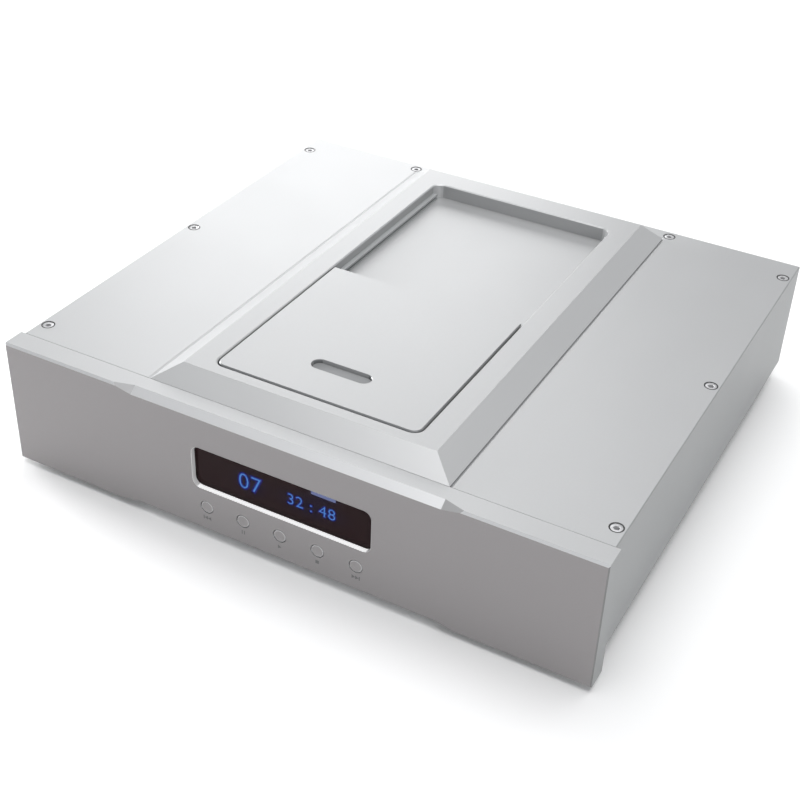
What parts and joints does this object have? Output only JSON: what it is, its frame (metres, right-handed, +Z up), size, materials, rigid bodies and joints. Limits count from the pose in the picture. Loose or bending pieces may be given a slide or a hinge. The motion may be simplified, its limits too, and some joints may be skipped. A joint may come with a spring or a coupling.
{
  "type": "cd transport",
  "caption": "Top-loading disc transport: flat aluminium casing, sliding lid over a disc well, front display and push buttons, rear sockets.",
  "frame": {"origin": "on the floor under the middle of the whole object", "axes": "+X to the right seen from the front, +Y from the front to the back, +Z up"},
  "size_m": [0.43, 0.402, 0.1092],
  "materials": {
    "anodised": "bead-blasted, satin anodised",
    "screw_steel": "bright",
    "display_glass": "smoked, polished",
    "display_dark": "dark, lit digits",
    "lens_glass": "coated, polished",
    "sheet_steel": "fine satin",
    "bar_aluminium": "mill",
    "black_plastic": "fine satin",
    "gear_plastic": "natural",
    "brass": "plated",
    "bright_metal": "plated",
    "rubber": "matt",
    "circuit_board": "lacquered",
    "transformer_wrap": "taped winding",
    "capacitor_sleeve": "shrink sleeve",
    "ribbon": "plain"
  },
  "bodies": {
    "chassis": {"balanced_socket": "black_plastic", "base_plate": "sheet_steel", "bayonet_socket": "bright_metal", "board_standoffs": "black_plastic", "bolts": "screw_steel", "capacitors": "capacitor_sleeve", "coax_socket": "brass", "cover_screws": "screw_steel", "cross_rails": "bar_aluminium", "deck_pillars": "bar_aluminium", "disc_well": "black_plastic", "display_module": "display_dark", "display_ribbon": "ribbon", "display_window": "display_glass", "feet": "black_plastic", "foot_pads": "rubber", "foot_screws": "screw_steel", "front_board": "circuit_board", "front_panel": "anodised", "gear_pin": "sheet_steel", "heatsink": "bar_aluminium", "left_side": "anodised", "lid_frame": "anodised", "lid_rails": "black_plastic", "mains_inlet": "black_plastic", "mech_deck": "sheet_steel", "nuts": "screw_steel", "panel_brackets": "bar_aluminium", "power_board": "circuit_board", "rear_panel": "sheet_steel", "rear_rail": "bar_aluminium", "right_side": "anodised", "servo_board": "circuit_board", "sled_motor": "sheet_steel", "sled_rods": "sheet_steel", "socket_pins": "brass", "spindle_motor": "sheet_steel", "suspension_grommets": "rubber", "switch_housing": "black_plastic", "tact_switches": "black_plastic", "top_cover": "anodised", "transformer": "transformer_wrap", "transformer_clamp": "screw_steel", "transformer_pads": "rubber"},
    "lid": {"lid": "anodised", "lid_runners": "black_plastic"},
    "previous_button": {"previous_button": "anodised"},
    "pause_button": {"pause_button": "anodised"},
    "play_button": {"play_button": "anodised"},
    "stop_button": {"stop_button": "anodised"},
    "next_button": {"next_button": "anodised"},
    "spindle": {"disc_hub": "black_plastic", "clamp_puck": "black_plastic"},
    "sled": {"pickup_sled": "black_plastic", "pickup_lens": "lens_glass"},
    "sled_gear": {"sled_gear": "gear_plastic"},
    "motor_pinion": {"motor_pinion": "brass"},
    "rocker": {"power_rocker": "black_plastic"}
  },
  "joints": [
    {"name": "lid_slide", "type": "slide", "parent": "chassis", "child": "lid", "axis": [0, 1, 0], "range_m": [0, 0.156]},
    {"name": "previous_press", "type": "slide", "parent": "chassis", "child": "previous_button", "axis": [0, 1, 0], "range_m": [0, 0.001], "stiffness_N_per_m": 300},
    {"name": "pause_press", "type": "slide", "parent": "chassis", "child": "pause_button", "axis": [0, 1, 0], "range_m": [0, 0.001], "stiffness_N_per_m": 300},
    {"name": "play_press", "type": "slide", "parent": "chassis", "child": "play_button", "axis": [0, 1, 0], "range_m": [0, 0.001], "stiffness_N_per_m": 300},
    {"name": "stop_press", "type": "slide", "parent": "chassis", "child": "stop_button", "axis": [0, 1, 0], "range_m": [0, 0.001], "stiffness_N_per_m": 300},
    {"name": "next_press", "type": "slide", "parent": "chassis", "child": "next_button", "axis": [0, 1, 0], "range_m": [0, 0.001], "stiffness_N_per_m": 300},
    {"name": "spindle_spin", "type": "hinge", "parent": "chassis", "child": "spindle", "pos_m": [0, -0.086, 0.08], "axis": [0, 0, 1], "continuous": true},
    {"name": "sled_slide", "type": "slide", "parent": "chassis", "child": "sled", "axis": [0, 1, 0], "range_m": [0, 0.033]},
    {"name": "sled_gear_turn", "type": "hinge", "parent": "chassis", "child": "sled_gear", "pos_m": [0.0393, -0.046, 0.08], "axis": [0, 0, -1], "range_deg": [0, 271]},
    {"name": "motor_pinion_turn", "type": "hinge", "parent": "chassis", "child": "motor_pinion", "pos_m": [0.0471, -0.03249, 0.08], "axis": [0, 0, 1], "range_deg": [0, 901]},
    {"name": "power_rock", "type": "hinge", "parent": "chassis", "child": "rocker", "pos_m": [-0.112, 0.1875, 0.051], "axis": [1, 0, 0], "range_deg": [0, 20]}
  ],
  "couplings": [
    {"joint": "sled_gear_turn", "follows": "sled_slide", "rad_per_m": 142.86},
    {"joint": "motor_pinion_turn", "follows": "sled_slide", "rad_per_m": 476.19}
  ]
}
